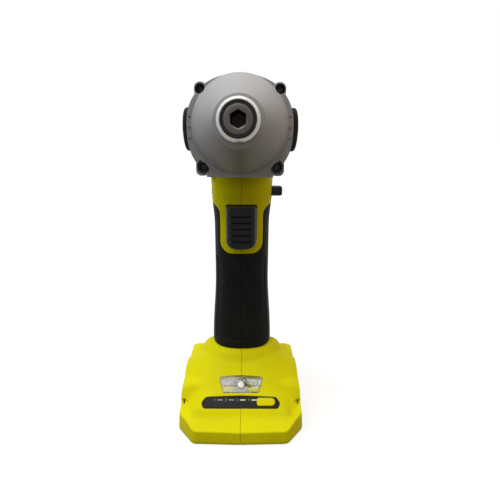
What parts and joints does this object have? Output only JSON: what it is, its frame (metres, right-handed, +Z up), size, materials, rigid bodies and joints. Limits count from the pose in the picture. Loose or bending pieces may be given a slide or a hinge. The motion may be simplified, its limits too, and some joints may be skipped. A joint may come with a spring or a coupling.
{
  "type": "impact driver",
  "caption": "Cordless impact driver, bare tool: cone hammer case with a quick-change hex bit holder, pistol grip with trigger, and a foot with work light and charge panel.",
  "frame": {"origin": "middle of the battery socket's mouth, on the flat sole of the foot", "axes": "+Z up along the handle, -Y along the drive axis out of the nose, +X to the user's left"},
  "size_m": [0.0814, 0.1494, 0.2153],
  "materials": {
    "lime_shell": "fine satin moulding",
    "lime_button": "smooth",
    "grip_rubber": "fine ribbed",
    "bumper_rubber": "smooth matt",
    "case_metal": "fine satin metallic paint",
    "black_screw": "black oxide",
    "bronze": "sintered",
    "steel": "ground",
    "anvil_steel": "turned",
    "collar_steel": "knurled and plated",
    "spring_steel": "drawn wire",
    "ball_steel": "polished",
    "forged_steel": "blasted",
    "gear_steel": "cut",
    "can_steel": "plated sheet",
    "magnet": "sintered",
    "copper": "bare copper",
    "carbon": "pressed carbon",
    "black_plastic": "moulded",
    "trigger_plastic": "fine satin moulding",
    "panel_plastic": "smooth",
    "sink_aluminium": "extruded",
    "lead_sheath": "flexible sheath",
    "clear_lens": "clear moulded",
    "emitter": "clear dome",
    "light_bar": "clear",
    "board": "lacquered"
  },
  "bodies": {
    "housing": {"housing_left": "lime_shell", "housing_right": "lime_shell", "grip_left": "grip_rubber", "grip_right": "grip_rubber", "side_bumper_left": "bumper_rubber", "side_bumper_right": "bumper_rubber", "hammer_case": "case_metal", "case_screws": "black_screw", "housing_screws": "black_screw", "anvil_bushing": "bronze", "anvil_washer": "steel", "ring_gear": "gear_steel", "gearbox_plate": "black_plastic", "spindle_bearing": "ball_steel", "motor_can": "can_steel", "motor_magnets": "magnet", "rotor_bearings": "ball_steel", "end_bell": "black_plastic", "brushes": "carbon", "brush_springs": "spring_steel", "switch_body": "black_plastic", "heat_sink": "sink_aluminium", "terminal_block": "black_plastic", "contact_blades": "copper", "battery_leads": "lead_sheath", "motor_leads": "lead_sheath", "light_lens": "clear_lens", "light_emitter": "emitter", "gauge_panel": "panel_plastic", "gauge_bars": "light_bar", "circuit_board": "board"},
    "anvil": {"anvil": "anvil_steel", "collar_washer": "black_screw", "snap_ring": "black_screw"},
    "collar": {"collar": "collar_steel", "collar_spring": "spring_steel"},
    "detent_left": {"detent_ball_left": "ball_steel"},
    "detent_right": {"detent_ball_right": "ball_steel"},
    "spindle": {"spindle": "steel", "planet_pins": "ball_steel", "cam_balls": "ball_steel"},
    "planet_1": {"planet_gear_1": "gear_steel"},
    "planet_2": {"planet_gear_2": "gear_steel"},
    "hammer": {"hammer": "forged_steel", "thrust_balls": "ball_steel", "spring_washer": "steel", "hammer_spring": "spring_steel"},
    "rotor": {"rotor_shaft": "ball_steel", "motor_pinion": "gear_steel", "armature_core": "forged_steel", "armature_windings": "copper", "commutator": "copper", "fan": "black_plastic"},
    "trigger": {"trigger": "trigger_plastic", "switch_plunger": "black_plastic", "trigger_spring": "spring_steel"},
    "shuttle": {"direction_shuttle": "trigger_plastic"},
    "lever": {"reversing_lever": "steel"},
    "button": {"mode_button": "lime_button"}
  },
  "joints": [
    {"name": "spindle_spin", "type": "hinge", "parent": "housing", "child": "spindle", "pos_m": [0, 0, 0.19], "axis": [0, -1, 0], "continuous": true},
    {"name": "rotor_spin", "type": "hinge", "parent": "housing", "child": "rotor", "pos_m": [0, 0, 0.19], "axis": [0, -1, 0], "continuous": true},
    {"name": "anvil_spin", "type": "hinge", "parent": "housing", "child": "anvil", "pos_m": [0, 0, 0.19], "axis": [0, -1, 0], "continuous": true},
    {"name": "planet_1_spin", "type": "hinge", "parent": "spindle", "child": "planet_1", "pos_m": [0.0108, 0, 0.19], "axis": [0, -1, 0], "continuous": true},
    {"name": "planet_2_spin", "type": "hinge", "parent": "spindle", "child": "planet_2", "pos_m": [-0.0108, 0, 0.19], "axis": [0, -1, 0], "continuous": true},
    {"name": "hammer_slide", "type": "slide", "parent": "spindle", "child": "hammer", "axis": [0, 1, 0], "range_m": [0, 0.007], "stiffness_N_per_m": 9000, "deforming": ["hammer_spring"]},
    {"name": "collar_slide", "type": "slide", "parent": "anvil", "child": "collar", "axis": [0, -1, 0], "range_m": [0, 0.003], "stiffness_N_per_m": 1500, "deforming": ["collar_spring"]},
    {"name": "detent_left_slide", "type": "slide", "parent": "anvil", "child": "detent_left", "axis": [1, 0, 0], "range_m": [0, 0.001]},
    {"name": "detent_right_slide", "type": "slide", "parent": "anvil", "child": "detent_right", "axis": [-1, 0, 0], "range_m": [0, 0.001]},
    {"name": "trigger_slide", "type": "slide", "parent": "housing", "child": "trigger", "axis": [0, 1, 0], "range_m": [0, 0.0065], "stiffness_N_per_m": 900, "deforming": ["trigger_spring"]},
    {"name": "shuttle_slide", "type": "slide", "parent": "housing", "child": "shuttle", "axis": [1, 0, 0], "range_m": [-0.007, 0]},
    {"name": "lever_swing", "type": "hinge", "parent": "housing", "child": "lever", "pos_m": [0, 0.004, 0.146], "axis": [0, 0, 1], "range_deg": [-28.95, 0]},
    {"name": "button_press", "type": "slide", "parent": "housing", "child": "button", "axis": [0, 0.5446, -0.8387], "range_m": [0, 0.0008], "stiffness_N_per_m": 1200}
  ],
  "couplings": [
    {"joint": "rotor_spin", "follows": "spindle_spin", "ratio": 6},
    {"joint": "anvil_spin", "follows": "spindle_spin", "ratio": 1},
    {"joint": "planet_1_spin", "follows": "spindle_spin", "ratio": -2.5},
    {"joint": "planet_2_spin", "follows": "spindle_spin", "ratio": -2.5},
    {"joint": "detent_left_slide", "follows": "collar_slide", "ratio": 0.33333},
    {"joint": "detent_right_slide", "follows": "collar_slide", "ratio": 0.33333},
    {"joint": "lever_swing", "follows": "shuttle_slide", "rad_per_m": 72.194}
  ]
}
